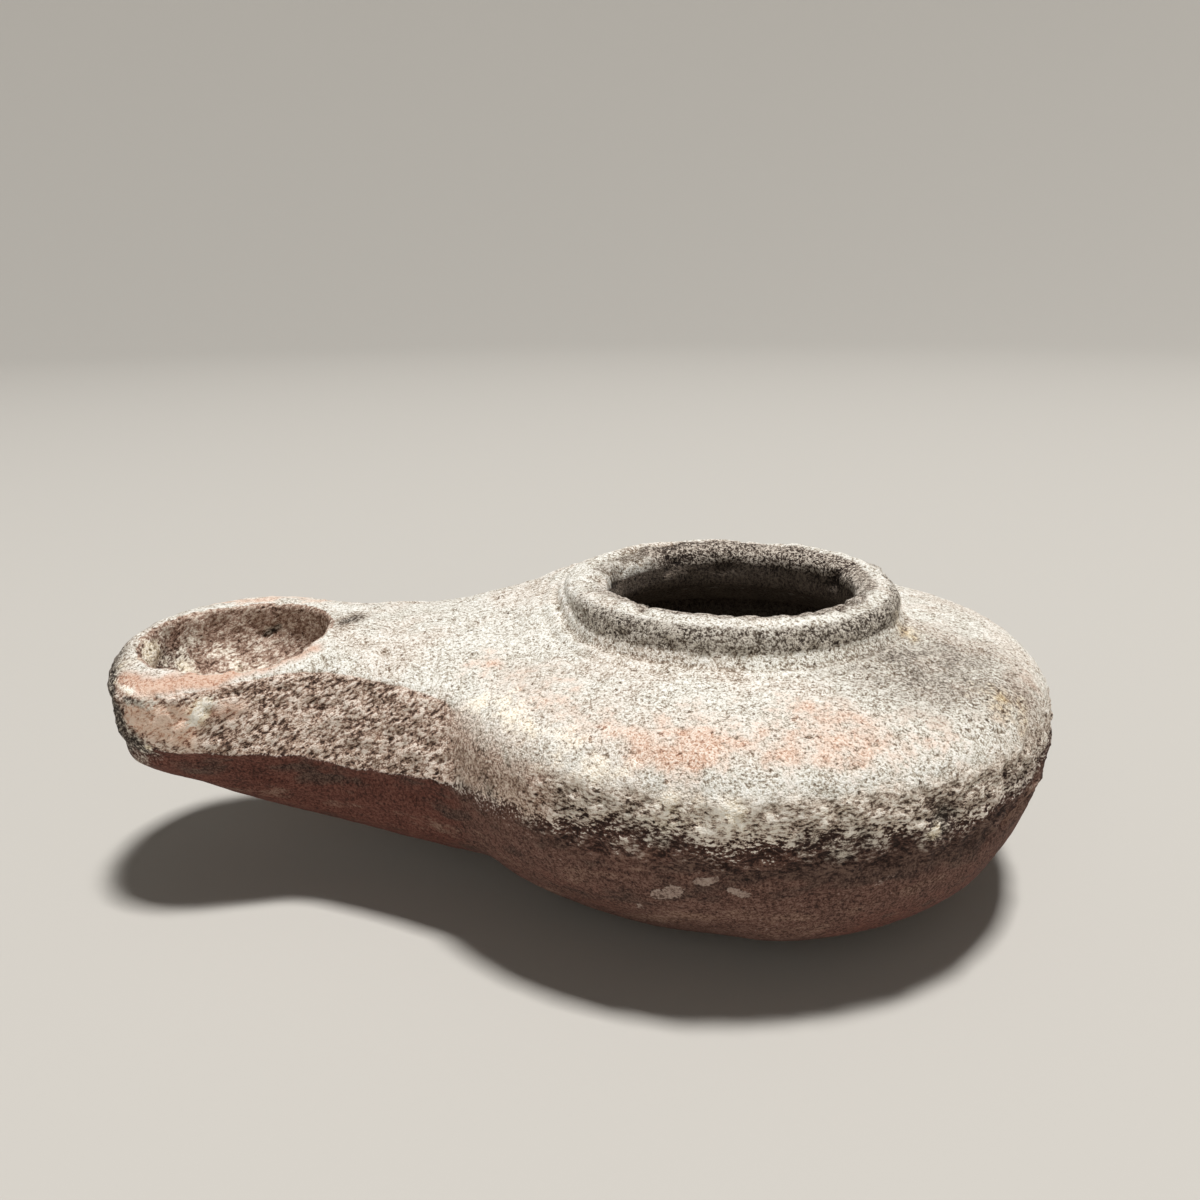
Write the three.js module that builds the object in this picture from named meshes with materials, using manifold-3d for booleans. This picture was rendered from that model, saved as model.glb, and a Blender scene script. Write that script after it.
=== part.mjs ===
// An ancient pottery oil lamp: a low wheel-thrown body with a collar round its filling hole, and a
// long nozzle with a large wick hole, its sides pared flat with a knife. It was fired as one piece.
// Millimetres, +Z up. The origin is the centre of the flat base, and the nozzle points along -X.

import * as THREE from "three";
import { mergeVertices } from "three/addons/utils/BufferGeometryUtils.js";
import Module from "manifold-3d";

const wasm = await Module();
wasm.setup();

// Thrown body, outside
const baseRadius = 17; // flat foot that the lamp stands on
const bellyRadius = 34; // widest part of the body
const bellyHeight = 21; // height of that widest part
const shoulderTopHeight = 29; // where the shoulder meets the collar
const lowerWallRise = 19; // degrees that the wall leaves the foot at
const shoulderSlope = 14; // degrees that the shoulder climbs at the collar
const footFullness = 0.72; // how long the lower wall keeps to that angle, as a share of its spread
const bellyFullness = 0.42; // height at which the lower wall turns upright, as a share of the belly's
const shoulderFullness = 0.74; // how far the shoulder stays upright over the belly, as a share of its rise
const wallThickness = 4;
const floorThickness = 5;

// Collar round the filling hole
const mouthRadius = 13.4; // filling hole
const collarWidth = 4.2; // from the filling hole to the outside of the collar
const collarHeight = 3.5; // above the top of the shoulder
const collarBulge = 0.5; // how far the collar stands out over its own foot
const collarRounding = 1.9; // worn outer edge of the collar
const lipRounding = 2; // width of the worn edge of the filling hole
const lipDrop = 1; // how far that edge falls towards the hole
const neckHeight = 3.4; // upright wall inside the filling hole, below the worn edge

// Nozzle, outside
const nozzleReach = 32.6; // tip beyond the belly
const nozzleHalfWidth = 13.3; // half of the flared end
const waistHalfWidth = 9.3; // half of the narrowest part, along the upper edges
const waistReach = 9; // waist beyond the belly
const rootHalfWidth = 28; // half of the spread at the nozzle's root, inside the body
const rootReach = 19; // how far the root runs into the body from the belly
const tipRounding = 10.5; // length of the rounded end
const tipFullness = 0.94; // 1 rounds the end as an ellipse, and less makes it squarer
const rootFlare = 1.25; // 1 spreads the nozzle evenly to its root, and more keeps it slim for longer
const upperEdgeHeight = 26; // upper edges of the pared sides, at the waist
const rootEdgeHeight = 19; // the same edges at the root, below the shoulder
const tipEdgeHeight = 24.9; // the same edges at the tip
const crownHeight = 2.4; // how far the top stands above its edges
const rootCrownHeight = 9.8; // the same at the root, where it runs up the shoulder
const sideHeight = 9; // height of the pared sides at the waist
const rootSideHeight = 1.5; // height of the pared sides at the root
const endSideHeight = 5; // height of the pared sides where the end starts to round
const tipHeight = 9; // height of the end face at the tip
const sideLean = 3.4; // how far the pared sides spread towards their lower edges, at the waist
const endLean = 0.4; // the same at the flared end
const tipUndercut = 1; // how far the foot of the end face lies behind its top
const keelHeight = 6.2; // underside of the nozzle, at the waist
const keelRootHeight = 2; // the same at the root
const keelEndHeight = 11; // the same where the end starts to round
const nozzleRoll = 6; // degrees that the hand-built nozzle leans towards its near side
const nozzleSkew = 6; // degrees that its end is out of square

// Wick hole and the channel from it to the oil
const wickHoleHalfLength = 9.9;
const wickHoleHalfWidth = 8.5;
const wickHoleDepth = 8;
const wickEndWall = 3; // from the wick hole to the tip
const wickHoleShift = 1.3; // off the middle, towards the near side
const wickRimDrop = 2.2; // widest ring of the bowl, below the crown of the top
const channelRadius = 5.2;
const channelCover = 4.6; // clay over the channel, beside the wick hole

// Fineness of the faceted surfaces
const bodyFacets = 72;
const cavityFacets = 48;
const curveSteps = 9;
const nozzleStations = 15;
const endStations = 9;
const crownSteps = 4;
const keelSteps = 5;
const collarSteps = 4;
const bowlFacets = 36;
const bowlSteps = 6;
const channelSteps = 8;

const collarRadius = mouthRadius + collarWidth;
const lampHeight = shoulderTopHeight + collarHeight;
const tipX = -(bellyRadius + nozzleReach);
const endX = tipX + tipRounding;
const waistX = -(bellyRadius + waistReach);
const rootX = -(bellyRadius - rootReach);
const wickX = tipX + wickEndWall + wickHoleHalfLength;
const throughCut = 6; // how far a cutter stands out of the clay

const clay = new THREE.MeshStandardMaterial({ color: 0xc2ad90, roughness: 0.93, metalness: 0 });

// A point at a distance from (x, y), in the direction of an angle in degrees.
function polar(x, y, distance, degrees) {
  const angle = THREE.MathUtils.degToRad(degrees);
  return [x + distance * Math.cos(angle), y + distance * Math.sin(angle)];
}

// A closed geometry as a solid that can be joined and cut.
function solidOf(geometry) {
  const bare = geometry.clone();
  bare.deleteAttribute("normal");
  bare.deleteAttribute("uv");
  const merged = mergeVertices(bare, 1e-4);
  const corners = [];
  const index = merged.index.array;
  for (let i = 0; i < index.length; i += 3) {
    const [a, b, c] = [index[i], index[i + 1], index[i + 2]];
    if (a !== b && b !== c && c !== a) corners.push(a, b, c);
  }
  const vertProperties = new Float32Array(merged.attributes.position.array);
  return new wasm.Manifold(new wasm.Mesh({ numProp: 3, vertProperties, triVerts: new Uint32Array(corners) }));
}

function geometryOf(solid) {
  const { vertProperties, triVerts } = solid.getMesh();
  const geometry = new THREE.BufferGeometry();
  geometry.setAttribute("position", new THREE.Float32BufferAttribute(vertProperties, 3));
  geometry.setIndex(new THREE.Uint32BufferAttribute(triVerts, 1));
  geometry.computeVertexNormals();
  return geometry;
}

// A profile of (radius, height) points turned round the body's upright axis.
function turned(points, facets) {
  return solidOf(new THREE.LatheGeometry(points, facets).rotateX(Math.PI / 2));
}

// The outer wall from the foot to the collar, as two curves that meet upright at the belly.
function wallCurves() {
  const belly = new THREE.Vector2(bellyRadius, bellyHeight);
  const lower = new THREE.CubicBezierCurve(
    new THREE.Vector2(baseRadius, 0),
    new THREE.Vector2(...polar(baseRadius, 0, footFullness * (bellyRadius - baseRadius), lowerWallRise)),
    new THREE.Vector2(bellyRadius, bellyHeight * bellyFullness),
    belly,
  );
  const shoulderReach = 0.5 * (bellyRadius - collarRadius);
  const shoulder = new THREE.CubicBezierCurve(
    belly,
    new THREE.Vector2(bellyRadius, bellyHeight + shoulderFullness * (shoulderTopHeight - bellyHeight)),
    new THREE.Vector2(...polar(collarRadius, shoulderTopHeight, shoulderReach, -shoulderSlope)),
    new THREE.Vector2(collarRadius, shoulderTopHeight),
  );
  return [lower, shoulder];
}

function thrownBody() {
  const [lower, shoulder] = wallCurves();
  const outside = collarRadius + collarBulge;
  const collar = new THREE.Path();
  collar.moveTo(collarRadius, shoulderTopHeight);
  collar.quadraticCurveTo(outside, shoulderTopHeight, outside, lampHeight - collarRounding);
  collar.quadraticCurveTo(outside, lampHeight, outside - collarRounding, lampHeight);
  const profile = [
    new THREE.Vector2(0, 0),
    ...lower.getPoints(curveSteps),
    ...shoulder.getPoints(curveSteps).slice(1),
    ...collar.getPoints(collarSteps).slice(1),
    new THREE.Vector2(0, lampHeight),
  ];
  return turned(profile, bodyFacets);
}

// The room for the oil keeps one wall inside the outer curves, and opens at the filling hole.
function oilRoom() {
  const inner = [new THREE.Vector2(0, floorThickness)];
  for (const curve of wallCurves()) {
    for (let step = 0; step <= curveSteps; step += 1) {
      const along = curve.getTangent(step / curveSteps);
      const point = curve.getPoint(step / curveSteps);
      point.add(new THREE.Vector2(-along.y, along.x).multiplyScalar(wallThickness));
      const last = inner[inner.length - 1];
      const apart = point.distanceTo(last) > 0.5;
      if (point.y > floorThickness && point.x > collarRadius - 0.5 && apart) inner.push(point);
    }
  }
  inner.splice(1, 0, new THREE.Vector2(inner[1].x - 0.6 * wallThickness, floorThickness));
  const wornLip = new THREE.QuadraticBezierCurve(
    new THREE.Vector2(mouthRadius, lampHeight - lipDrop),
    new THREE.Vector2(mouthRadius, lampHeight),
    new THREE.Vector2(mouthRadius + lipRounding, lampHeight),
  );
  inner.push(
    new THREE.Vector2(mouthRadius, lampHeight - lipDrop - neckHeight),
    ...wornLip.getPoints(collarSteps),
    new THREE.Vector2(mouthRadius + lipRounding, lampHeight + throughCut),
    new THREE.Vector2(0, lampHeight + throughCut),
  );
  return turned(inner, cavityFacets);
}

// A smooth height or half-width along the lamp, from [x, value] stations in any order.
function along(stations) {
  const sorted = [...stations].sort((a, b) => a[0] - b[0]);
  const curve = new THREE.CubicInterpolant(sorted.map((s) => s[0]), sorted.map((s) => s[1]), 1);
  return (x) => curve.evaluate(x)[0];
}

// Half of an edge of the nozzle in plan: from the root, in to the waist, out again and round the end.
function planStations(tip, endWidth, waistWidth) {
  const end = tip + tipRounding;
  const stations = [];
  for (let i = 0; i <= nozzleStations; i += 1) {
    const x = THREE.MathUtils.lerp(rootX, end, i / nozzleStations);
    const toRoot = Math.max(0, (x - waistX) / (rootX - waistX)) ** rootFlare;
    const toEnd = THREE.MathUtils.smoothstep(waistX - x, 0, waistX - end);
    const flare = (endWidth - waistWidth) * toEnd + (rootHalfWidth - waistWidth) * toRoot;
    stations.push({ x, width: waistWidth + flare });
  }
  for (let i = 1; i <= endStations; i += 1) {
    const angle = (i / endStations) * (Math.PI / 2);
    const width = i === endStations ? 0 : endWidth * Math.cos(angle) ** tipFullness;
    stations.push({ x: end - tipRounding * Math.sin(angle) ** tipFullness, width });
  }
  return stations;
}

// The hand-built nozzle leans to its near side, and its end isn't square.
function handBuilt(point) {
  const share = THREE.MathUtils.smoothstep(-point.x, bellyRadius - 4, bellyRadius + tipRounding);
  const centre = new THREE.Vector3(0, 0, upperEdgeHeight - 0.5 * sideHeight);
  const skewed = point.clone();
  skewed.x += Math.tan(THREE.MathUtils.degToRad(nozzleSkew)) * point.y * share;
  const roll = THREE.MathUtils.degToRad(nozzleRoll) * share;
  return skewed.sub(centre).applyAxisAngle(new THREE.Vector3(1, 0, 0), roll).add(centre);
}

// A skin over rings of points, from a flat first ring to a last one that closes on itself.
function loft(rings) {
  const positions = rings.flat().flatMap((p) => [p.x, p.y, p.z]);
  const count = rings[0].length;
  const centre = rings[0].reduce((sum, p) => sum.add(p), new THREE.Vector3()).divideScalar(count);
  positions.push(centre.x, centre.y, centre.z);
  const hub = rings.length * count;
  const index = [];
  for (let k = 0; k < count; k += 1) {
    const next = (k + 1) % count;
    index.push(hub, k, next);
    for (let r = 0; r + 1 < rings.length; r += 1) {
      const [a, b] = [r * count + k, r * count + next];
      index.push(a, b + count, b, a, a + count, b + count);
    }
  }
  const geometry = new THREE.BufferGeometry();
  geometry.setAttribute("position", new THREE.Float32BufferAttribute(positions, 3));
  geometry.setIndex(index);
  return solidOf(geometry);
}

function nozzleBlock() {
  const upper = planStations(tipX, nozzleHalfWidth, waistHalfWidth);
  const lowerWaist = waistHalfWidth + sideLean;
  const lowerEnd = nozzleHalfWidth + endLean;
  const lower = planStations(tipX + tipUndercut, lowerEnd, lowerWaist);
  const edgeHeight = along([[rootX, rootEdgeHeight], [waistX, upperEdgeHeight], [tipX, tipEdgeHeight]]);
  const crownAt = along([[rootX, rootCrownHeight], [waistX, crownHeight], [tipX, crownHeight]]);
  const endEdge = edgeHeight(endX);
  const footHeight = along([
    [rootX, rootEdgeHeight - rootSideHeight],
    [waistX, upperEdgeHeight - sideHeight],
    [endX, endEdge - endSideHeight],
    [tipX + tipUndercut, tipEdgeHeight - tipHeight],
  ]);
  const keel = along([
    [rootX, keelRootHeight],
    [waistX, keelHeight],
    [endX, keelEndHeight],
    [tipX + tipUndercut, tipEdgeHeight - tipHeight],
  ]);
  const rings = upper.map((edge, i) => {
    const foot = lower[i];
    const crown = crownAt(edge.x) * Math.min(1, edge.width / waistHalfWidth);
    const near = [];
    for (let k = 0; k <= crownSteps; k += 1) {
      const angle = (k / crownSteps) * (Math.PI / 2);
      const z = edgeHeight(edge.x) + crown * Math.cos(angle);
      near.push(new THREE.Vector3(edge.x, -edge.width * Math.sin(angle), z));
    }
    for (let k = 0; k <= keelSteps; k += 1) {
      const angle = (k / keelSteps) * (Math.PI / 2);
      const drop = footHeight(foot.x) - keel(foot.x);
      const y = k === keelSteps ? 0 : -foot.width * Math.cos(angle);
      near.push(new THREE.Vector3(foot.x, y, footHeight(foot.x) - drop * Math.sin(angle)));
    }
    const far = near.slice(1, -1).reverse().map((p) => new THREE.Vector3(p.x, -p.y, p.z));
    return [...near, ...far].map(handBuilt);
  });
  return loft(rings);
}

// The wick hole is a round-bottomed bowl, and the channel runs from it down into the oil room.
function wickHole() {
  const rim = handBuilt(new THREE.Vector3(wickX, -wickHoleShift, tipEdgeHeight + crownHeight - wickRimDrop));
  const depth = wickHoleDepth - wickRimDrop;
  const profile = [new THREE.Vector2(0, -depth)];
  for (let step = 1; step <= bowlSteps; step += 1) {
    const angle = (step / bowlSteps) * (Math.PI / 2);
    profile.push(new THREE.Vector2(Math.sin(angle), -depth * Math.cos(angle)));
  }
  profile.push(new THREE.Vector2(1.04, throughCut), new THREE.Vector2(0, throughCut));
  const bowl = new THREE.LatheGeometry(profile, bowlFacets).rotateX(Math.PI / 2);
  bowl.scale(wickHoleHalfLength, wickHoleHalfWidth, 1);
  bowl.rotateX(THREE.MathUtils.degToRad(nozzleRoll));
  bowl.translate(rim.x, rim.y, rim.z);
  return solidOf(bowl);
}

function wickChannel() {
  const section = new THREE.Shape().absellipse(0, 0, channelRadius, channelRadius, 0, Math.PI * 2);
  const roof = upperEdgeHeight + crownHeight - channelCover;
  const route = new THREE.CatmullRomCurve3([
    new THREE.Vector3(wickX + 0.2 * wickHoleHalfLength, -wickHoleShift, tipEdgeHeight),
    new THREE.Vector3(wickX + wickHoleHalfLength, 0, roof - channelRadius),
    new THREE.Vector3(-bellyRadius + wallThickness + channelRadius, 0, bellyHeight - wallThickness),
  ]);
  const sweep = { steps: channelSteps, curveSegments: 10, extrudePath: route };
  return solidOf(new THREE.ExtrudeGeometry(section, sweep));
}

function lamp() {
  const clayMass = thrownBody().add(nozzleBlock());
  const hollow = oilRoom().add(wickHole()).add(wickChannel());
  const mesh = new THREE.Mesh(geometryOf(clayMass.subtract(hollow)), clay);
  mesh.name = "oil_lamp";
  return mesh;
}

const root = new THREE.Group();
root.add(lamp());

export default root;
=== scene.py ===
# An old pottery oil lamp, worn and stained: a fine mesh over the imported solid, its clay and a studio.
# The lamp's own sizes are in millimetres here, and go to metres where Blender takes them.
import math

import bpy
import numpy as np
from mathutils import Matrix, Vector, noise


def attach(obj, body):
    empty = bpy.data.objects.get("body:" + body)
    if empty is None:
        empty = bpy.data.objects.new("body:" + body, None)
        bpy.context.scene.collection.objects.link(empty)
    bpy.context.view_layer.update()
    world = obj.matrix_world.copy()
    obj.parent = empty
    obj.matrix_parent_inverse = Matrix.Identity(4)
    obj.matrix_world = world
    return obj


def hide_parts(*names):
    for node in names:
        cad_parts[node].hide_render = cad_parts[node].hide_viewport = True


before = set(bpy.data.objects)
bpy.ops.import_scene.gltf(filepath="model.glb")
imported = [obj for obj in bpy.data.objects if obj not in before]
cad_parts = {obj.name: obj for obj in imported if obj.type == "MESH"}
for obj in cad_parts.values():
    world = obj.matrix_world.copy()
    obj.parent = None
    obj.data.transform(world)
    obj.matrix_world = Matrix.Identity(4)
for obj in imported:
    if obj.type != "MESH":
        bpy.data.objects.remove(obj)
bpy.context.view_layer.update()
print("frame loaded:", sorted(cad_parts))

mm = 0.001
scene = bpy.context.scene


def linearColour(hexColour):
    # sRGB hex to the linear numbers that the shader wants
    values = [int(hexColour[i:i + 2], 16) / 255 for i in (1, 3, 5)]
    return [v / 12.92 if v <= 0.04045 else ((v + 0.055) / 1.055) ** 2.4 for v in values] + [1.0]


def addNode(tree, kind, settings=None, inputs=None, output=0):
    # one node, with its own settings, its plain values and the sockets that feed it; gives one output
    node = tree.nodes.new(kind)
    for name, value in (settings or {}).items():
        setattr(node, name, value)
    for name, value in (inputs or {}).items():
        if isinstance(value, bpy.types.NodeSocket):
            tree.links.new(value, node.inputs[name])
        else:
            node.inputs[name].default_value = value
    return node.outputs[output]


def linked(name, data):
    piece = bpy.data.objects.new(name, data)
    scene.collection.objects.link(piece)
    return piece


# Camera, where the photograph was taken from: close, and looking down a little
cameraView = {
    "placeMm": (-15.5, -118.9, 65.1),
    "aimMm": (-14.2, 4.1, 29.0),
    "rollDegrees": -0.54,
    "lensMm": 33.85,
    "sensorMm": 36.0,
}


def addCamera(view):
    data = bpy.data.cameras.new("camera")
    data.lens = view["lensMm"]
    data.sensor_width = view["sensorMm"]
    data.clip_start = 5 * mm
    camera = linked("camera", data)
    place = Vector(view["placeMm"]) * mm
    turn = (Vector(view["aimMm"]) * mm - place).to_track_quat("-Z", "Y").to_matrix().to_4x4()
    roll = Matrix.Rotation(math.radians(view["rollDegrees"]), 4, "Z")
    camera.matrix_world = Matrix.Translation(place) @ turn @ roll
    scene.camera = camera


# Studio: a pale floor that curves up all round, one soft light overhead and a weak one in front
studio = {
    "floorColour": "#b7b3ac",
    "flatRadiusMm": 900,
    "riseRadiusMm": 1700,
    "riseMm": 700,
    "rings": 28,
    "sides": 96,
    "keyWatts": 54,
    "keySizeMm": 290,
    "keyPlaceMm": (256, -144, 2050),
    "fillWatts": 0.5,
    "fillSizeMm": 500,
    "fillPlaceMm": (-250, -600, 320),
    "skyColour": "#e8e2da",
    "skyStrength": 0.12,
}


def addLight(name, place, size, watts):
    data = bpy.data.lights.new(name, "AREA")
    data.size = size * mm
    data.energy = watts
    light = linked(name, data)
    light.location = Vector(place) * mm
    light.rotation_euler = (-light.location).to_track_quat("-Z", "Y").to_euler()


def addStudio(look):
    rings, sides = look["rings"], look["sides"]
    widening = look["riseRadiusMm"] - look["flatRadiusMm"]
    points = [(0, 0, 0)]
    for ring in range(rings + 1):
        quarterTurn = ring / rings * math.pi / 2
        radius = look["flatRadiusMm"] + widening * math.sin(quarterTurn)
        height = look["riseMm"] * (1 - math.cos(quarterTurn))
        for side in range(sides):
            angle = side / sides * math.tau
            points.append((radius * math.cos(angle), radius * math.sin(angle), height))
    faces = [(0, 1 + s, 1 + (s + 1) % sides) for s in range(sides)]
    for ring in range(rings):
        low = 1 + ring * sides
        for s in range(sides):
            following = (s + 1) % sides
            faces.append((low + s, low + sides + s, low + sides + following, low + following))
    mesh = bpy.data.meshes.new("floor")
    mesh.from_pydata([Vector(p) * mm for p in points], [], faces)
    mesh.shade_smooth()
    paper = bpy.data.materials.new("floor_paper")
    paper.use_nodes = True
    shader = paper.node_tree.nodes["Principled BSDF"]
    shader.inputs["Base Color"].default_value = linearColour(look["floorColour"])
    shader.inputs["Roughness"].default_value = 0.9
    mesh.materials.append(paper)
    floor = linked("floor", mesh)
    addLight("key", look["keyPlaceMm"], look["keySizeMm"], look["keyWatts"])
    addLight("fill", look["fillPlaceMm"], look["fillSizeMm"], look["fillWatts"])
    world = bpy.data.worlds.new("studio")
    world.use_nodes = True
    background = world.node_tree.nodes["Background"]
    background.inputs["Color"].default_value = linearColour(look["skyColour"])
    background.inputs["Strength"].default_value = look["skyStrength"]
    scene.world = world
    scene.view_settings.view_transform = "Standard"
    scene.view_settings.look = "None"


addCamera(cameraView)
addStudio(studio)
print("camera and studio in place")


# The lamp's own measures, as modelled in the solid
lampForm = {
    "bellyRadius": 34.0,
    "mouthRadius": 13.4,
    "footRadius": 18.4,  # where the collar meets the shoulder
    "footHeight": 29.2,
    "height": 32.5,
    "jointRadius": 31.0,  # where the nozzle grows out of the body
    "wickHole": (-53.7, -1.8, 25.0),
    "wickReach": (10.8, 9.6, 8.2),
    "skin": 2.5,  # kept as outside, from the belly inwards
    "roomMiddle": 15.0,
    "roomHeights": (3.0, 27.0),
    "channelHeight": 17.6,
    "channelSpan": (-49.0, -26.0),
    "channelReach": 6.5,
    # height of the lower edge of the pared sides along the nozzle, and of the crust's edge on the body, which
    # is also where the underside's painted shade begins
    "footX": [-67, -61, -56, -50, -43, -30, -18, 12, 33],
    "footZ": [20.0, 20.4, 20.1, 19.2, 18.2, 17.2, 18.4, 18.4, 19.8],
}

# Even mesh that the relief is worked into
fineMesh = {
    "cellMm": 0.45,
    "insideShare": 0.12,  # faces kept inside the oil room, which hardly shows
    "softenRounds": 3,
    "jointRounds": 20,  # more rounds where the nozzle grows out of the body
    "collarRounds": 26,  # and at the collar's foot, which fades into the shoulder at the nozzle's side
}


def ramp(value, low, high):
    # 0 below low, 1 above high, and a smooth climb between; high may be the smaller
    share = np.clip((value - low) / (high - low), 0, 1)
    return share * share * (3 - 2 * share)


def bakeModifiers(piece):
    graph = bpy.context.evaluated_depsgraph_get()
    mesh = bpy.data.meshes.new_from_object(piece.evaluated_get(graph))
    piece.modifiers.clear()
    piece.data = mesh


def pointsOf(mesh):
    flat = np.empty(len(mesh.vertices) * 3, np.float32)
    mesh.vertices.foreach_get("co", flat)
    return flat.reshape(-1, 3).astype(float) / mm


def normalsOf(mesh):
    flat = np.empty(len(mesh.vertices) * 3, np.float32)
    mesh.vertex_normals.foreach_get("vector", flat)
    return flat.reshape(-1, 3).astype(float)


def movePoints(mesh, points):
    mesh.vertices.foreach_set("co", (points * mm).astype(np.float32).ravel())
    mesh.update()


def relaxed(points, edges, weight, rounds):
    # each point moves towards the middle of its neighbours, by its own weight
    first, second = edges.T
    count = len(points)
    degree = np.bincount(first, minlength=count) + np.bincount(second, minlength=count)
    for _ in range(rounds):
        total = np.stack([
            np.bincount(first, points[second, axis], count) + np.bincount(second, points[first, axis], count)
            for axis in range(3)
        ], 1)
        points = points + weight[:, None] * (total / np.maximum(degree, 1)[:, None] - points)
    return points


def edgesOf(mesh):
    flat = np.empty(len(mesh.edges) * 2, np.int32)
    mesh.edges.foreach_get("vertices", flat)
    return flat.reshape(-1, 2)


def hiddenInside(points, normals, form):
    # walls of the oil room and the channel: their faces look back towards the middle of the hollow
    x, y, z = points.T
    radius = np.hypot(x, y)
    toRoom = ((points - (0, 0, form["roomMiddle"])) * normals).sum(1) < 0
    low, high = form["roomHeights"]
    ceiling = (radius > form["mouthRadius"] + 0.7) & (z < form["footHeight"])
    room = toRoom & (radius < form["bellyRadius"] - form["skin"]) & (z > low) & ((z < high) | ceiling)
    fromMiddle = points * (0, 1, 1) - (0, 0, form["channelHeight"])
    start, end = form["channelSpan"]
    channel = (x > start) & (x < end) & ((fromMiddle * normals).sum(1) < 0)
    return room | (channel & (np.hypot(*fromMiddle[:, 1:].T) < form["channelReach"]))


def evenMesh(form, fine):
    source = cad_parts["oil_lamp"]
    piece = linked("weathered_lamp", source.data.copy())
    piece.data.materials.clear()
    cells = piece.modifiers.new("cells", "REMESH")
    cells.mode = "VOXEL"
    cells.voxel_size = fine["cellMm"] * mm
    bakeModifiers(piece)
    inside = hiddenInside(pointsOf(piece.data), normalsOf(piece.data), form)
    group = piece.vertex_groups.new(name="inside")
    group.add(np.nonzero(inside)[0].tolist(), 1.0, "REPLACE")
    share = inside.mean()
    fewer = piece.modifiers.new("fewer", "DECIMATE")
    fewer.ratio = 1 - share * (1 - fine["insideShare"])
    fewer.vertex_group = "inside"
    bakeModifiers(piece)
    piece.vertex_groups.clear()
    return piece


def softened(piece, fine, form):
    # rounds the modelled creases as wear has, most of all where the nozzle joins the body
    mesh = piece.data
    edges = edgesOf(mesh)
    points = pointsOf(mesh)
    points = relaxed(points, edges, np.full(len(points), 0.5), fine["softenRounds"])
    x, y, z = points.T
    nearJoint = ramp(np.abs(np.hypot(x, y) - form["jointRadius"]), 9, 3) * ramp(-x, 12, 18) * (z > 0.6)
    points = relaxed(points, edges, 0.5 * nearJoint, fine["jointRounds"])
    x, y, z = points.T
    atFoot = ramp(np.abs(np.hypot(x, y) - form["footRadius"]), 3.0, 1.2)
    atFoot *= ramp(np.abs(z - form["footHeight"]), 2.6, 1.2)
    fading = 0.12 + 0.38 * ramp(-x, -2, 15)
    points = relaxed(points, edges, fading * atFoot, fine["collarRounds"])
    movePoints(mesh, points)
    return points


lamp = evenMesh(lampForm, fineMesh)
restPoints = softened(lamp, fineMesh, lampForm)
restNormals = normalsOf(lamp.data)
triangles = sum(len(face.vertices) - 2 for face in lamp.data.polygons)
print("even mesh:", len(lamp.data.vertices), "points,", triangles, "triangles")


def pattern(points, sizeMm, octaves=3, shift=0.0):
    # smooth noise of a real size, about -1 to 1
    scaled = points / sizeMm + shift
    return np.array([noise.fractal(p, 1.0, 2.0, octaves) for p in scaled.tolist()])


def drawnOut(points, degrees, longer):
    # stretches a pattern along a slope in the side view, as a knife or a finger drags the clay
    x, y, z = points.T
    turn = math.radians(degrees)
    along = x * math.cos(turn) + z * math.sin(turn)
    across = z * math.cos(turn) - x * math.sin(turn)
    return np.stack([along / longer, y, across], 1)


def nearness(points, marks):
    # adds up soft spots and strokes: route through (x, y, z) places, reach in mm and strength
    total = np.zeros(len(points))
    for route, reach, strength in marks:
        route = np.array(route, float).reshape(-1, 3)
        closest = np.full(len(points), 1e9)
        for start, end in zip(route, route[1:] if len(route) > 1 else route):
            step = end - start
            share = np.clip((points - start) @ step / max(step @ step, 1e-9), 0, 1)
            closest = np.minimum(closest, ((points - start - share[:, None] * step) ** 2).sum(1))
        total += strength * np.exp(-closest / (2 * reach * reach))
    return total


# Where one kind of surface gives way to the next, in millimetres: each pair goes from none to all of it
zones = {
    "nozzle": (26, 31),  # along the nozzle, away from the body
    "end": (58, 61),
    "bellyRadius": (27, 30),
    "bellyTop": (24.5, 21.0),
    "bellyFoot": (13.0, 16.5),
    "bellyEnd": (27, 17),  # the band fades towards the nozzle's root
    "softEdge": (3.6, 0.3),  # width of the crust's edge on the body and on the nozzle
    "earthy": (7.5, 3.0),  # painted shade band and clinging earth, this far below the crust
    "lipRadius": 14.6,
    "innerLip": (16.4, 15.0),
    "collarSideRadius": 17.9,
    "collarSideFoot": (29.3, 29.9),
    "collarSideTop": (32.8, 32.0),
    "neckTop": (31.3, 30.3),
}


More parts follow.
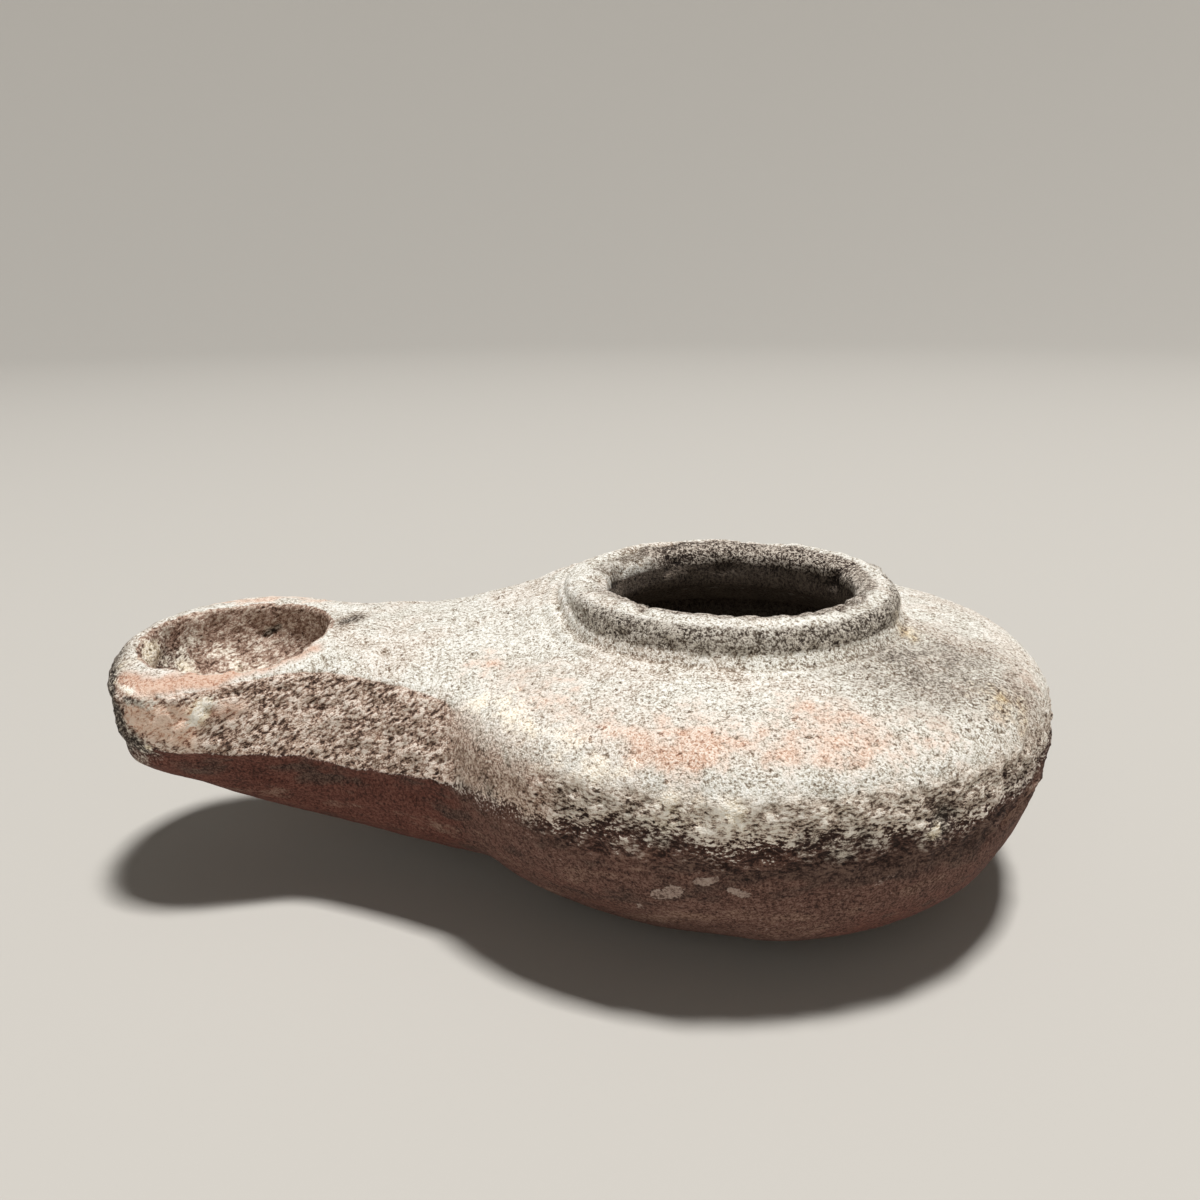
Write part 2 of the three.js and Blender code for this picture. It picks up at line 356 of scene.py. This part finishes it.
def regions(points, normals, form, zone):
    # where each kind of surface lies, each from 0 to 1
    x, y, z = points.T
    radius = np.hypot(x, y)
    area = {}
    area["inside"] = hiddenInside(points, normals, form).astype(float)
    outside = 1 - area["inside"]
    wick = (points - form["wickHole"]) / form["wickReach"]
    inBowl = ((wick ** 2).sum(1) < 1.2) & (((points - form["wickHole"]) * normals).sum(1) < 0)
    area["bowl"] = inBowl * (x < -42.5)
    plain = outside * (1 - area["bowl"])
    # the lime crust ends in a ragged line, where the underside's painted shade begins too: along the foot of
    # the pared sides, and under the belly
    foot = np.interp(x, form["footX"], form["footZ"]) + 0.105 * y * ramp(-x, 30, 44)
    onNozzle = ramp(-x, *zone["nozzle"])
    area["belowFoot"] = plain * onNozzle * ramp(foot - z, 0, 1.5) * ramp(foot - z, 10, 4)
    ragged = 1.1 * pattern(points, 8, 2, 71.0) + 0.8 * pattern(points, 2.0, 3, 83.0)
    foot += ragged * (1 - 0.8 * onNozzle)
    bodyEdge, nozzleEdge = zone["softEdge"]
    softness = bodyEdge + (nozzleEdge - bodyEdge) * onNozzle
    area["under"] = plain * ramp((z - foot) / softness, 1, -1) * (radius > 16.5)
    area["under"] = np.maximum(area["under"], outside * (z < 0.5))
    upper = plain * (1 - area["under"])
    upright = ramp(np.abs(normals[:, 2]), 0.72, 0.5)
    area["side"] = upper * onNozzle * upright * ramp(np.abs(normals[:, 1]), 0.5, 0.75)
    area["end"] = upper * ramp(-x, *zone["end"]) * upright
    onBody = ramp(radius, *zone["bellyRadius"]) * (1 - onNozzle)
    band = ramp(z, *zone["bellyTop"]) * ramp(z, *zone["bellyFoot"]) * ramp(-x, *zone["bellyEnd"])
    area["belly"] = plain * onBody * band
    # the nozzle's underside: red-brown clay with painted red light reflected from below
    area["redClayAndBounce"] = area["under"] * onNozzle
    # a band of painted shade, with clinging earth, just below the crust on the belly
    area["earthy"] = 0.75 * area["under"] * (1 - onNozzle)
    area["earthy"] *= ramp(foot - z, *zone["earthy"]) * ramp(x, -24, -8)
    # the neck's inner wall, painted dark as shade
    area["neck"] = (radius < form["mouthRadius"] + 1.6) * (z > 22) * ramp(z, *zone["neckTop"])
    area["lip"] = ramp(np.abs(radius - zone["lipRadius"]), 2.3, 1.0) * ramp(z, 29.4, 30.4)
    area["nozzleward"] = ramp((0.34 * y - 0.94 * x) / np.maximum(radius, 1), 0.62, 0.97)
    # the collar's upright side: its grain, and painted shade laid over the crust there
    area["collarSide"] = upper * ramp(np.abs(radius - zone["collarSideRadius"]), 1.3, 0.6)
    area["collarSide"] *= ramp(z, *zone["collarSideFoot"]) * ramp(z, *zone["collarSideTop"])
    area["collarSide"] *= 1 - 0.85 * area["nozzleward"]
    innerLip = area["lip"] * ramp(radius, *zone["innerLip"]) * (1 - 0.6 * area["nozzleward"])
    # the lip's inner edge: crumbly, and painted shade, stronger on the far side
    area["crumblyShadedLip"] = innerLip * (0.6 + 0.4 * ramp(y, -2, 6))
    area["top"] = upper * ramp(normals[:, 2], 0.45, 0.75)
    return area


# Relief that is worked into the mesh, in millimetres
relief = {
    "handMade": 0.26,
    "topGrain": 0.11,
    "topPits": 0.30,
    "sideGrain": 0.32,
    "bellyCrumble": 0.36,
    "underGrain": 0.05,
    "lipChips": 0.5,
    "lipRise": 0.25,
    "footFill": 0.2,
    "nozzlewardFill": 1.8,
    "underCut": 0.5,
    "collarGrain": 0.22,
    "bowlGrain": 0.16,
    "throwingRings": 0.07,
    "ringStepMm": 1.5,
    "footGroove": 0.34,
    "dragDegrees": 28,
    "insideShare": 0.2,  # of the relief that the hidden faces get
}

# Dents and swellings: route in millimetres, reach and height
shaping = [
    ([(-53.4, 6.4, 24.5), (-51.5, 6.7, 25.4)], 0.3, -0.45),  # gouge in the wick hole
    ([(-64.2, -1.2, 25.3), (-62.4, -3.2, 24.6)], 1.0, 0.7),  # lump of lime at its left
    ([(-61.5, -12.9, 23.9), (-57.5, -13.4, 24.0)], 0.35, -0.2),  # dark line under the worn edge
    ([(15.3, -30.2, 19.2)], 0.8, -0.7),  # pit in the belly
    ([(14.4, -30.9, 17.9)], 0.7, 0.35),
    ([(-38.0, -12.2, 23.9)], 0.8, -0.5),  # nick in the pared side
    ([(-50.7, -11.8, 14.4), (-42.3, -12.5, 14.7), (-35.5, -15.6, 16.1)], 0.28, -0.35),  # crack below
    ([(-37.3, -14.6, 14.8)], 0.4, -0.5),
    ([(-33.5, -16.3, 14.4)], 0.4, -0.5),
    ([(-8, 14, 32.3), (-1, 16, 32.3)], 3.0, 0.5),  # the collar is a little higher behind, to the left
    ([(10, 13.5, 32.3), (16.6, 5, 32.2)], 2.0, 0.45),  # and keeps a corner to the right
    ([(-23, 8, 28.4), (-15, 17, 28.4)], 4.5, 0.65),  # full shoulder behind the nozzle
    ([(-26, 6, 28.2), (-20, 11, 28.4)], 3.8, 0.85),
    ([(20, 14, 27), (28, 5, 26.5)], 5.0, 0.45),  # and behind, to the right
    ([(-16, -24, 7), (-6, -27, 6)], 4.5, -0.75),  # hand-turned foot, hollower to the left
    ([(4, -27, 6), (18, -23, 8)], 4.5, 0.5),  # than to the right
    ([(-29, -8, 10.5)], 3.5, 0.55),  # the nozzle's root below
    ([(-65.5, -6, 17.5), (-62, -9, 17)], 2.5, 0.5),  # and the lower corner of its tip
]


def carve(points, normals, area, amount, marks, form):
    # gives the new points, and the fine relief alone for the clay's colours
    x, y, z = points.T
    radius = np.hypot(x, y)
    grain = pattern(points, 1.1, 3, 11.0)
    coarse = pattern(points, 2.3, 3, 23.0)
    dragged = drawnOut(points, amount["dragDegrees"], 1.8)
    streaks = pattern(dragged, 0.85, 3, 37.0) + 0.55 * pattern(dragged, 1.7, 2, 41.0)
    pits = ramp(pattern(points, 1.5, 2, 51.0), 0.42, 0.8)
    height = area["top"] * (amount["topGrain"] * grain - amount["topPits"] * pits)
    height += amount["sideGrain"] * streaks * np.maximum(area["side"], 0.6 * area["end"])
    level = drawnOut(points, 0, 1.6)
    crumbs = pattern(level, 0.9, 3, 61.0) + 0.7 * pattern(level, 2.2, 2, 67.0)
    height += amount["bellyCrumble"] * crumbs * area["belly"]
    height += amount["underGrain"] * coarse * area["under"]
    chips = ramp(pattern(points, 3.4, 3, 91.0) + 0.5 * pattern(points, 9, 1, 97.0), 0.05, 0.6)
    height += area["lip"] * (0.06 * grain - amount["lipChips"] * chips)
    height += amount["collarGrain"] * (grain + 0.4 * coarse) * area["collarSide"]
    height += amount["bowlGrain"] * (coarse + grain) * area["bowl"]
    nearSide = ramp(-y, -4, 8) * (z > 27.5) * (1 - area["inside"])
    grooves = np.exp(-((radius - 18.9) / 0.35) ** 2) + 0.5 * np.exp(-((radius - 20.2) / 0.3) ** 2)
    height -= amount["footGroove"] * grooves * nearSide
    rings = np.sin(radius / amount["ringStepMm"] * math.tau + 0.8 * coarse)
    nearCollar = ramp(radius, 27, 21) * ramp(radius, 17.5, 19) * (0.4 + ramp(-x, 6, 14))
    height += amount["throwingRings"] * rings * area["top"] * nearCollar
    shape = amount["handMade"] * pattern(points, 17, 2, 3.1) + nearness(points, marks)
    shape += amount["lipRise"] * ramp(-y, 0, 9) * area["lip"] - amount["underCut"] * area["belowFoot"]
    kept = 1 - (1 - amount["insideShare"]) * area["inside"]
    moved = points + normals * ((height + shape) * kept)[:, None]
    # the shoulder climbs to meet the collar, most of all towards the nozzle
    reach = 1.4 + 3.2 * area["nozzleward"]
    fill = (amount["footFill"] + amount["nozzlewardFill"] * area["nozzleward"]) * (1 - area["inside"])
    fill *= np.exp(-(np.maximum(radius - form["footRadius"], 0) / reach) ** 2) * ramp(radius, 16.2, 17.4)
    collarTop = form["height"] - 0.2
    moved[:, 2] += fill * np.clip((collarTop - z) / (collarTop - form["footHeight"]), 0, 1)
    # the underside stays flat where the lamp stands
    moved[:, 2] = np.where(z < 0.4, np.maximum(z, 0), np.maximum(moved[:, 2], 0.02))
    return moved, height


area = regions(restPoints, restNormals, lampForm, zones)
carvedPoints, carvedHeight = carve(restPoints, restNormals, area, relief, shaping, lampForm)
movePoints(lamp.data, carvedPoints)
lamp.data.shade_smooth()
print("relief worked in")


def keepOnMesh(mesh, name, values):
    layer = mesh.attributes.new(name, "FLOAT", "POINT")
    layer.data.foreach_set("value", np.clip(values, 0, 1).astype(np.float32))


# Stains and patches: route in millimetres, reach and strength
stains = {
    "bare": [
        ([(-11, -29.2, 25.3), (-7, -30.6, 25.2)], 1.5, 0.5),
        ([(-6.5, -31.4, 24.4)], 0.8, 0.4),
        ([(-4.5, -29.6, 26.0)], 1.2, 0.4),
        ([(-0.5, -31.5, 25.1), (1, -31.2, 25.5)], 0.9, 0.5),
        ([(4.5, -31.6, 24.8), (7, -31.2, 24.9)], 0.9, 0.5),
        ([(-9, -28.5, 26.2), (3, -29.0, 26.6)], 3.4, 0.34),
        ([(3, -27, 27), (10, -27, 26.8)], 2.2, 0.3),
        ([(10, -29.5, 25.6), (15, -27.5, 25.4)], 2.0, 0.32),
        ([(-20, -21, 26.6), (-15, -26, 25.6)], 2.2, 0.42),
        ([(-26, -12, 27.4), (-20, -16, 27.6)], 2.0, 0.32),
        ([(22, -22, 24.6), (28, -14, 24.6)], 2.2, 0.36),
        ([(-60, 9.5, 27), (-53, 9.5, 28.3), (-46, 8.0, 28.4)], 1.3, 0.6),
        ([(-52.9, 6.2, 23.9), (-50.8, 6.6, 24.9)], 0.35, 1.2),
        ([(-52, -13, 22.5), (-47, -12.6, 23.4)], 0.7, 0.5),
        ([(-37.1, -13.7, 20.1)], 0.6, 0.7),
    ],
    "scraped": [
        ([(-63.5, -9.8, 25.2), (-59, -12.0, 25.2), (-54, -11.4, 25.9)], 1.2, 0.85),
        ([(-54, -11.2, 26), (-49, -9.8, 26.6), (-44, -6.6, 27.6)], 0.9, 0.75),
        ([(-53, -13.0, 22.6), (-49.5, -12.7, 23.2)], 0.8, 0.7),
    ],
    # the tip's facet: pink cut clay, brightened with painted light
    "freshCutAndLight": [
        ([(-61.0, -12.8, 22.2), (-56.5, -13.6, 21.6)], 1.4, 1.5),
    ],
    "worn": [
        ([(-29, -18, 21), (-21, -25, 19.5)], 3.0, 0.95),
        ([(-29, 18, 21), (-21, 25, 19.5)], 3.0, 0.9),
    ],
    "soot": [
        ([(22, -12, 27.8), (14, -19, 28), (26, -18, 25)], 4.5, 0.45),
        ([(14.5, -14.5, 28.6)], 1.4, 0.22),
        ([(-65.0, -9.8, 24), (-64.7, -9.5, 21.5), (-64.2, -9.5, 19)], 1.0, 1.3),
        ([(-42, -1, 28.4), (-41, 0.5, 28.6)], 0.9, 0.85),
        ([(-65.4, -8.5, 20.5), (-66.6, -2, 21.5), (-65.5, 5, 22.5)], 2.6, 1.5),
        ([(-65.6, -8, 24.2), (-66.0, 1, 25.0)], 1.1, 0.9),
        ([(-62.6, -12.2, 24), (-60, -13.0, 23.8), (-58, -13.2, 24.0)], 0.26, 1.2),
        ([(-53.4, 6.4, 24.6), (-51.6, 6.7, 25.5)], 0.25, 1.0),
        ([(-61.8, -12.2, 18.9), (-60.8, -12.6, 18.7)], 0.8, 1.1),
        ([(15.3, -30.4, 18.8)], 1.4, 1.0),
        ([(2, -33.8, 18.6), (8, -33, 18.4)], 1.2, 0.4),
        ([(-17, -29, 18.8), (-10, -32, 18.8)], 1.4, 0.3),
    ],
    "ochre": [
        ([(23.5, -20.4, 25.4)], 2.2, 0.4),
        ([(17.5, -8, 28.8)], 1.5, 0.55),
        ([(-54.5, -13.3, 22.6)], 0.9, 0.8),
        ([(-63.0, -6.5, 25.0)], 1.2, 0.5),
    ],
    "lime": [
        ([(-9, -32.6, 21.3), (-4, -33.5, 21.2)], 1.5, 0.48),
        ([(-1, -33.6, 21.3)], 1.2, 0.36),
        ([(5, -33, 21.8)], 1.4, 0.3),
        ([(14.4, -30.8, 17.8)], 0.7, 0.8),
        ([(-64.2, -1.0, 25.4), (-62.4, -3.4, 24.7)], 1.0, 1.7),
        ([(-55.5, -13.6, 21.8), (-53.4, -13.1, 24.0)], 0.5, 0.95),
        ([(-60.3, -12.9, 18.9)], 0.4, 1.2),
        ([(-64.3, -9.4, 24.9), (-61.6, -11.9, 24.6)], 0.3, 0.9),
        ([(-60, 1, 22), (-56, 3.5, 21.5), (-50, 2, 19)], 2.8, 0.42),
        ([(-26, -17, 25.3), (-17, -27, 24.4), (-13, -29.5, 23)], 1.8, 0.45),
    ],
    "pale": [
        ([(-9.8, -30.9, 12.0), (-8.2, -31.7, 13.0)], 0.65, 0.95),
        ([(-6.4, -32.6, 14.3), (-4.9, -32.9, 14.7)], 0.38, 0.9),
        ([(-3.4, -32.8, 13.5), (-2.2, -32.8, 13.0)], 0.5, 0.75),
        ([(-11.2, -29.1, 9.3)], 0.8, 0.55),
        ([(9.5, -31.2, 13.6), (15, -29.5, 15.8)], 0.5, 0.62),
    ],
    # painted red light reflected from below, on red-brown clay at the underside's lower edge
    "redClayAndBounce": [
        ([(10, -27, 7), (23, -20, 9), (31, -10, 13)], 3.2, 0.75),
        ([(-24, -18, 12), (-14, -26, 9)], 2.6, 0.45),
    ],
}


# Regions that the clay's colours follow
shownRegions = [
    "side", "end", "belly", "under", "earthy", "bowl", "collarSide", "crumblyShadedLip", "neck", "inside",
]


def stainMesh(mesh, points, area, height, places):
    # keeps the relief, the stains and the shown regions on the mesh, for the material to read by name
    marks = {"relief": 0.5 + height}
    for name, spots in places.items():
        marks[name] = (nearness(points, spots) + area.get(name, 0)) * (1 - area["inside"])
    for name in shownRegions:
        marks["on_" + name] = area[name]
    for name, values in marks.items():
        keepOnMesh(mesh, name, values)
    return list(marks)


marksOnMesh = stainMesh(lamp.data, restPoints, area, carvedHeight, stains)
print("stains on the mesh:", len(marksOnMesh), "marks")

# Fired clay, unglazed and thrown on a wheel, then buried for centuries: a matt surface with open pores,
# cream lime crust above, bare pink and red-brown clay where it has worn, and soot round the holes
firedClay = {
    "bumpMm": 0.34,
    "roughness": 0.93,
    "ior": 1.5,
    "specularLevel": 0.25,
    # size in mm, detail, roughness, and what draws it out along x, y and z after a turn in the side view
    "patterns": {
        "grain": (0.36, 3, 0.7, None, 0),
        "flakes": (0.36, 3, 0.7, (1.7, 1.7, 0.8), 0),  # crumbling layers on the belly
        "drags": (0.36, 3, 0.7, (2.0, 1.2, 0.85), 28),  # grain that the knife dragged along the pared sides
        "fine": (0.18, 2, 0.6, None, 0),
        "pores": (0.8, 2, 0.6, None, 0),
        "patches": (2.4, 3, 0.6, None, 0),
        "blotches": (8.0, 3, 0.6, None, 0),
        "clouds": (4.5, 4, 0.6, (2.2, 1.6, 0.8), 8),  # earth that clings below in long patches
    },
    "roughOn": ["on_collarSide", "on_belly", "on_crumblyShadedLip", "soot"],
    "plainGain": 1.7,
    "roughGain": 1.25,
    "weights": {"fine": 0.7, "relief": 0.55, "patches": 0.5},
    "poreDepth": 0.3,
    # tone raised or lowered under marks: soot darkens; the raises are partly painted light, brightening faces
    # that turn away from the key light
    "liftsAndPaintedLight": {"soot": -0.27, "bare": 0.08, "scraped": 0.18, "freshCutAndLight": 0.2, "lime": 0.14},
    # four shades each, from open pores to the tops of the grains
    "shadePlaces": (0.12, 0.33, 0.5, 0.78),
    "crust": ["#766859", "#b4aa9b", "#dbd7cc", "#f2f0ea"],
    "bare": ["#74503f", "#b1876f", "#cfab94", "#ecdccd"],
    "pared": ["#46352d", "#8a6f60", "#bea390", "#f0e2d5"],
    # the belly's crumbling clay, darker partly as painted shade where the belly turns down
    "crumbs": ["#54443a", "#9d8a7b", "#cfbfae", "#f5ede1"],
    # underside: red-brown clay, darkened as painted shade
    "under": ["#2e1f1b", "#4f372f", "#65483e", "#7f6358"],
    # redder underside: clay with painted red reflected light
    "redClayAndBounce": ["#35201a", "#4f2f27", "#603930", "#775044"],
    "earthy": ["#241915", "#3b2a25", "#503c34", "#6d574c"],
    "dusty": ["#38261f", "#5b4137", "#765a4d", "#927768"],
    "scraped": ["#7a4f3c", "#ab7d66", "#c0957d", "#d9bca8"],
    # pink cut clay, brightened with painted light
    "freshCutAndLight": ["#8f6350", "#cb9d84", "#e4bfa6", "#f4dac6"],
    # painted shade on the crumbly inner edge of the lip
    "shadedLip": ["#261d19", "#54473e", "#8d7f72", "#dacfc1"],
    "burnt": ["#3f2e25", "#7f6455", "#a68b7a", "#dfd1c1"],
    # dark grey: soot round the wick and tip, and painted shade on the collar's side
    "sootAndShade": ["#2e2722", "#675c53", "#a2988b", "#d6cec1"],
    "ochre": ["#5f4a2e", "#b1905f", "#d2b784", "#ede0bf"],
    "lime": ["#8a7a64", "#d6c6aa", "#f2e6cf", "#fdf7ea"],
    "pale": ["#57443c", "#7e6a60", "#968277", "#a8978c"],
    "neck": ["#332b25", "#574c43", "#6b5f54", "#85786b"],
    # painted shade inside the hollow
    "dark": ["#463c35", "#60554b", "#756a5f", "#8f8478"],
    # what lies over the crust, in order: shades, mark, strength, and softness and raggedness of its edge
    "overCrust": [
        ("pared", "on_side", 1.0, 0.4, 0.7),
        ("pared", "on_end", 0.8, 0.5, 1.0),
        # the belly's crumbling band, its darkening partly painted shade
        ("crumbs", "on_belly", 0.9, 0.6, 1.0),
        ("pared", "worn", 1.0, 0.7, 1.0),
        # painted shade on the collar's upright side, in the soot colours
        ("sootAndShade", "on_collarSide", 0.75, 0.7, 1.0),
        ("bare", "bare", 1.0, 0.8, 1.8),
        ("scraped", "scraped", 1.0, 0.6, 0.8),
        # pink cut clay on the tip's facet, brightened with painted light
        ("freshCutAndLight", "freshCutAndLight", 1.0, 0.6, 0.8),
    ],
    "overAll": [
        ("pale", "pale", 1.0, 0.12, 0.8),
        ("burnt", "on_bowl", 1.0, 0.4, 0.4),
        ("sootAndShade", "soot", 1.0, 0.9, 1.7),
        ("ochre", "ochre", 1.0, 0.8, 1.0),
        ("lime", "lime", 1.0, 0.5, 1.3),
        # painted shade on the crumbly inner edge of the lip
        ("shadedLip", "on_crumblyShadedLip", 1.0, 0.6, 1.0),
    ],
}


def clayMaterial(look, marks):
    material = bpy.data.materials.new("fired_clay")
    material.use_nodes = True
    tree = material.node_tree
    shader = tree.nodes["Principled BSDF"]
    highest = {"operation": "MAXIMUM"}
    minus = {"operation": "SUBTRACT"}
    product = {"operation": "MULTIPLY"}
    weighted = {"operation": "MULTIPLY_ADD"}
    softEdge = {"interpolation_type": "SMOOTHSTEP"}

    place = addNode(tree, "ShaderNodeTexCoord", output="Object")
    field = {}  # every mark and pattern, by name
    for name in marks:
        field[name] = addNode(tree, "ShaderNodeAttribute", {"attribute_name": name}, output="Fac")
    for name, (sizeMm, detail, roughness, longer, degrees) in look["patterns"].items():
        at = place
        if longer:
            at = addNode(tree, "ShaderNodeMapping", {"vector_type": "TEXTURE"}, {
                "Vector": place, "Rotation": (0, -math.radians(degrees), 0), "Scale": longer})
        field[name] = addNode(tree, "ShaderNodeTexNoise", {}, {
            "Vector": at, "Scale": 1 / (sizeMm * mm), "Detail": detail, "Roughness": roughness}, "Fac")

    # one tone for all the shades: the grain, finer grain, relief and patches round a middle of 0.5
    pared = addNode(tree, "ShaderNodeMath", highest, {0: field["on_side"], 1: field["on_end"]})
    dragged = addNode(tree, "ShaderNodeMath", highest, {0: pared, 1: field["on_bowl"]})
    rough = pared
    for name in look["roughOn"]:
        rough = addNode(tree, "ShaderNodeMath", highest, {0: rough, 1: field[name]})
    grain = addNode(tree, "ShaderNodeMix", {"data_type": "FLOAT"}, {
        "Factor": field["on_belly"], "A": field["grain"], "B": field["flakes"]}, "Result")
    grain = addNode(tree, "ShaderNodeMix", {"data_type": "FLOAT"}, {
        "Factor": dragged, "A": grain, "B": field["drags"]}, "Result")
    pores = addNode(tree, "ShaderNodeMapRange", softEdge, {
        "Value": field["pores"], "From Min": 0.37, "From Max": 0.28}, "Result")
    gain = addNode(tree, "ShaderNodeMath", weighted, {0: rough, 1: look["roughGain"], 2: look["plainGain"]})
    grainTone = addNode(tree, "ShaderNodeMath", minus, {0: grain, 1: 0.5})
    patchTone = addNode(tree, "ShaderNodeMath", minus, {0: field["patches"], 1: 0.5})
    middle = 0.5 * (1 - sum(look["weights"].values()))
    tone = addNode(tree, "ShaderNodeMath", weighted, {0: grainTone, 1: gain, 2: middle})
    tone = addNode(tree, "ShaderNodeMath", weighted, {0: pores, 1: -look["poreDepth"], 2: tone})
    for name, weight in {**look["weights"], **look["liftsAndPaintedLight"]}.items():
        tone = addNode(tree, "ShaderNodeMath", weighted, {0: field[name], 1: weight, 2: tone})

    def raggedPatch(name, strength, softness, raggedness):
        # a mark's amount, with its edge broken up by the patches and the grain
        amount = addNode(tree, "ShaderNodeMath", product, {0: field[name], 1: strength})
        edge = addNode(tree, "ShaderNodeMath", weighted, {0: patchTone, 1: 1.3 * raggedness, 2: amount})
        edge = addNode(tree, "ShaderNodeMath", weighted, {0: grainTone, 1: 0.9 * raggedness, 2: edge})
        near = addNode(tree, "ShaderNodeMapRange", softEdge, {
            "Value": amount, "From Min": 0.02, "From Max": 0.12}, "Result")
        return addNode(tree, "ShaderNodeMapRange", softEdge, {
            "Value": edge, "From Min": 0.5 - softness / 2, "From Max": 0.5 + softness / 2,
            "To Max": near}, "Result")

    def laidOver(base, name, amount):
        # one set of shades by tone, over what is there already
        shades = addNode(tree, "ShaderNodeValToRGB", {}, {"Fac": tone}, "Color")
        stops = shades.node.color_ramp.elements
        first, *between, last = look["shadePlaces"]
        stops[0].position = first
        stops[1].position = last
        for position in between:
            stops.new(position)
        for stop, colour in zip(stops, look[name]):
            stop.color = linearColour(colour)
        if base is None:
            return shades
        return addNode(tree, "ShaderNodeMix", {"data_type": "RGBA"}, {
            "Factor": amount, "A": base, "B": shades}, "Result")

    colour = laidOver(None, "crust", 1.0)
    faint = addNode(tree, "ShaderNodeMapRange", softEdge, {
        "Value": field["blotches"], "From Min": 0.46, "From Max": 0.62, "To Max": 0.17}, "Result")
    colour = laidOver(colour, "bare", faint)
    for name, mark, strength, softness, raggedness in look["overCrust"]:
        colour = laidOver(colour, name, raggedPatch(mark, strength, softness, raggedness))

    # below the belly's crumbling band the under shades, red-brown clay darkened as painted shade, take all
    # but the highest grains, which keep their lime
    lowGrain = addNode(tree, "ShaderNodeMath", minus, {0: 0.5, 1: tone})
    lowGrain = addNode(tree, "ShaderNodeMath", weighted, {0: lowGrain, 1: 0.8, 2: field["on_under"]})
    shadedBareUnder = addNode(tree, "ShaderNodeMapRange", softEdge, {
        "Value": lowGrain, "From Min": 0.40, "From Max": 0.62}, "Result")
    colour = laidOver(colour, "under", shadedBareUnder)
    # painted red reflected light over the underside, on the nozzle and at the lower edge
    redder = raggedPatch("redClayAndBounce", 1.0, 1.0, 1.0)
    redder = addNode(tree, "ShaderNodeMath", product, {0: redder, 1: field["on_under"]})
    colour = laidOver(colour, "redClayAndBounce", redder)
    # dark earth in long patches, and painted shade just below the crust on the belly; then lighter dust
    # patches
    shadeAndEarth = addNode(tree, "ShaderNodeMath", weighted, {0: field["on_earthy"], 1: 0.22, 2: field["clouds"]})
    for name, cloud, low, high in (("earthy", shadeAndEarth, 0.55, 0.68), ("dusty", field["clouds"], 0.45, 0.34)):
        amount = addNode(tree, "ShaderNodeMapRange", softEdge, {
            "Value": cloud, "From Min": low, "From Max": high, "To Max": field["on_under"]}, "Result")
        colour = laidOver(colour, name, amount)

    for name, mark, strength, softness, raggedness in look["overAll"]:
        colour = laidOver(colour, name, raggedPatch(mark, strength, softness, raggedness))
    # painted shade on the neck's inner wall
    inNeck = addNode(tree, "ShaderNodeMapRange", softEdge, {
        "Value": field["on_neck"], "From Min": 0.3, "From Max": 0.7}, "Result")
    colour = laidOver(colour, "neck", inNeck)
    # painted shade over the walls of the oil room and channel
    colour = laidOver(colour, "dark", field["on_inside"])
    tree.links.new(colour, shader.inputs["Base Color"])

    height = addNode(tree, "ShaderNodeMath", weighted, {0: field["fine"], 1: 0.4, 2: grain})
    height = addNode(tree, "ShaderNodeMath", weighted, {0: pores, 1: -0.5, 2: height})
    strength = addNode(tree, "ShaderNodeMath", weighted, {0: rough, 1: 0.35, 2: 0.65})
    strength = addNode(tree, "ShaderNodeMath", weighted, {0: field["on_under"], 1: -0.5, 2: strength})
    bump = addNode(tree, "ShaderNodeBump", {}, {
        "Strength": strength, "Distance": look["bumpMm"] * mm, "Height": height}, "Normal")
    tree.links.new(bump, shader.inputs["Normal"])
    shader.inputs["Roughness"].default_value = look["roughness"]
    shader.inputs["IOR"].default_value = look["ior"]
    shader.inputs["Specular IOR Level"].default_value = look["specularLevel"]
    return material


lamp.data.materials.append(clayMaterial(firedClay, marksOnMesh))
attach(lamp, "root")
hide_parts("oil_lamp")
print("clay material on")
